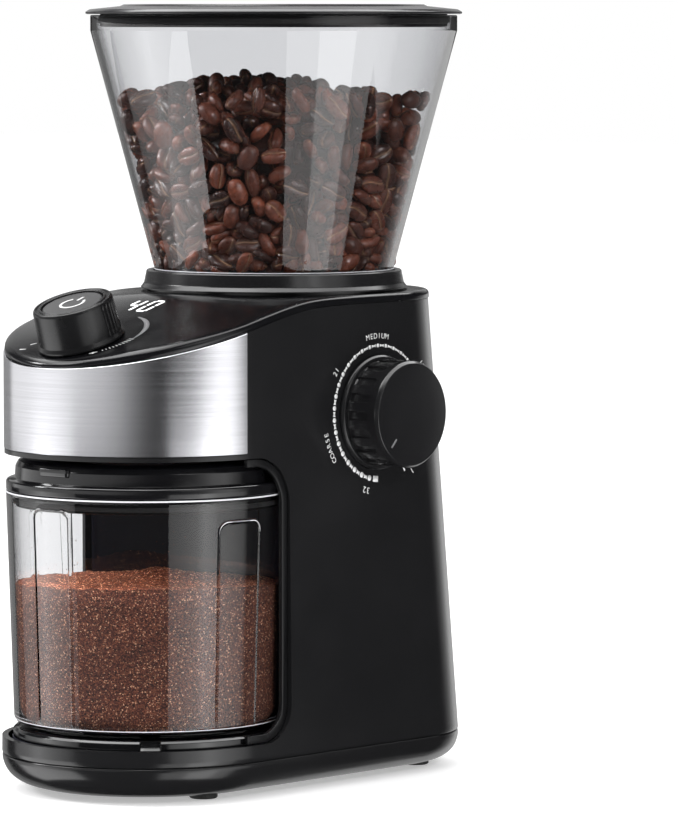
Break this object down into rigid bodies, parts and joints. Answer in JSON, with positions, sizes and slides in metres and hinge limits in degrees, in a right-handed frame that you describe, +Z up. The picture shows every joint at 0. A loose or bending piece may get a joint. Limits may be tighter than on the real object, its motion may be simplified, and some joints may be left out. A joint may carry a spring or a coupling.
{
  "type": "burr coffee grinder",
  "caption": "Upright burr coffee grinder with a clear conical hopper, side grind dial, tilted timer knob and a pull-out ground coffee container.",
  "frame": {"origin": "centre of the bounding box at the underside of the feet", "axes": "+Z up, -Y towards the front with the timer knob and container, +X towards the grind dial"},
  "size_m": [0.1568, 0.2146, 0.32],
  "materials": {
    "satin_black": "satin moulded plastic",
    "gloss_black": "gloss moulded plastic",
    "brushed_steel": "brushed along the sheet",
    "clear": "clear moulded plastic",
    "rubber": "matt",
    "burr_steel": "ground steel",
    "steel": "plain",
    "brass": "plain",
    "nylon": "natural nylon",
    "board_green": "printed circuit board",
    "aluminium": "die cast"
  },
  "bodies": {
    "body": {"main_housing": "satin_black", "base_cover": "satin_black", "hopper_collar": "satin_black", "hopper_seat": "satin_black", "chute": "satin_black", "motor_end_bell": "satin_black", "hopper_switch": "satin_black", "top_cover": "gloss_black", "bay_liner": "gloss_black", "bay_trim_left": "gloss_black", "bay_trim_right": "gloss_black", "cup_seat": "gloss_black", "display_module": "gloss_black", "dial_flange": "gloss_black", "steel_band": "brushed_steel", "foot_front_left": "rubber", "foot_front_right": "rubber", "foot_rear_left": "rubber", "foot_rear_right": "rubber", "cord_inlet": "rubber", "base_screw_1": "steel", "base_screw_2": "steel", "base_screw_3": "steel", "shaft_bearing": "steel", "shaft_bracket": "steel", "compound_pin": "steel", "motor_can": "steel", "motor_screw_1": "steel", "motor_screw_2": "steel", "control_board": "board_green", "power_board": "board_green", "grinding_chamber": "aluminium", "gearbox_frame": "aluminium"},
    "hopper_latch_ring": {"hopper_latch_ring": "nylon"},
    "hopper": {"hopper": "clear", "hopper_floor": "satin_black"},
    "hopper_lid": {"hopper_lid": "satin_black", "lid_seal": "rubber"},
    "container": {"container": "clear"},
    "container_lid": {"container_lid": "gloss_black", "container_lid_seal": "rubber"},
    "grind_dial": {"grind_dial": "satin_black", "dial_shaft": "steel", "dial_pinion": "nylon"},
    "adjusting_ring": {"adjusting_ring": "nylon"},
    "burr_carrier": {"burr_carrier": "satin_black", "ring_burr": "burr_steel"},
    "motor_rotor": {"motor_shaft": "steel", "motor_armature": "burr_steel", "motor_pinion": "brass"},
    "compound_gear": {"compound_gear": "nylon"},
    "burr_drive": {"burr_shaft": "steel", "output_gear": "steel", "impeller": "nylon", "cone_burr": "burr_steel", "burr_nut": "steel"},
    "timer_knob": {"timer_knob": "gloss_black", "encoder_shaft": "aluminium"},
    "power_button": {"power_button": "satin_black"}
  },
  "joints": [
    {"name": "hopper_twist", "type": "hinge", "parent": "body", "child": "hopper_latch_ring", "pos_m": [0, 0.02885, 0.2], "axis": [0, 0, 1], "range_deg": [0, 20]},
    {"name": "hopper_lift", "type": "slide", "parent": "hopper_latch_ring", "child": "hopper", "axis": [0, 0, 1], "range_m": [0, 0.12]},
    {"name": "hopper_lid_lift", "type": "slide", "parent": "hopper", "child": "hopper_lid", "axis": [0, 0, 1], "range_m": [0, 0.08]},
    {"name": "container_slide", "type": "slide", "parent": "body", "child": "container", "axis": [0, -1, 0], "range_m": [0, 0.15]},
    {"name": "container_lid_turn", "type": "hinge", "parent": "container", "child": "container_lid", "pos_m": [0, -0.0475, 0.13], "axis": [0, 0, 1], "range_deg": [-90, 90]},
    {"name": "grind_dial_turn", "type": "hinge", "parent": "body", "child": "grind_dial", "pos_m": [0.06, 0.02885, 0.1525], "axis": [1, 0, 0], "range_deg": [-285, 41]},
    {"name": "adjusting_ring_turn", "type": "hinge", "parent": "body", "child": "adjusting_ring", "pos_m": [0, 0.02885, 0.168], "axis": [0, 0, 1], "range_deg": [-10.5, 71.5]},
    {"name": "burr_carrier_travel", "type": "slide", "parent": "body", "child": "burr_carrier", "axis": [0, 0, 1], "range_m": [-0.00087, 0.00013]},
    {"name": "motor_spin", "type": "hinge", "parent": "body", "child": "motor_rotor", "pos_m": [0, 0.05285, 0.09], "axis": [0, 0, 1], "continuous": true},
    {"name": "compound_gear_spin", "type": "hinge", "parent": "body", "child": "compound_gear", "pos_m": [-0.01888, 0.04367, 0.135], "axis": [0, 0, 1], "continuous": true},
    {"name": "burr_spin", "type": "hinge", "parent": "body", "child": "burr_drive", "pos_m": [0, 0.02885, 0.15], "axis": [0, 0, 1], "continuous": true},
    {"name": "timer_knob_turn", "type": "hinge", "parent": "body", "child": "timer_knob", "pos_m": [0, -0.08514, 0.1843], "axis": [0, -0.3256, 0.9455], "range_deg": [-150, 150]},
    {"name": "power_button_press", "type": "slide", "parent": "timer_knob", "child": "power_button", "axis": [0, 0.3256, -0.9455], "range_m": [0, 0.0008], "stiffness_N_per_m": 1500, "springref_m": -0.0005}
  ],
  "couplings": [
    {"joint": "grind_dial_turn", "follows": "burr_carrier_travel", "rad_per_m": 5714.3},
    {"joint": "adjusting_ring_turn", "follows": "burr_carrier_travel", "rad_per_m": -1428.6},
    {"joint": "compound_gear_spin", "follows": "motor_spin", "ratio": -0.27273},
    {"joint": "burr_spin", "follows": "motor_spin", "ratio": 0.090909}
  ]
}
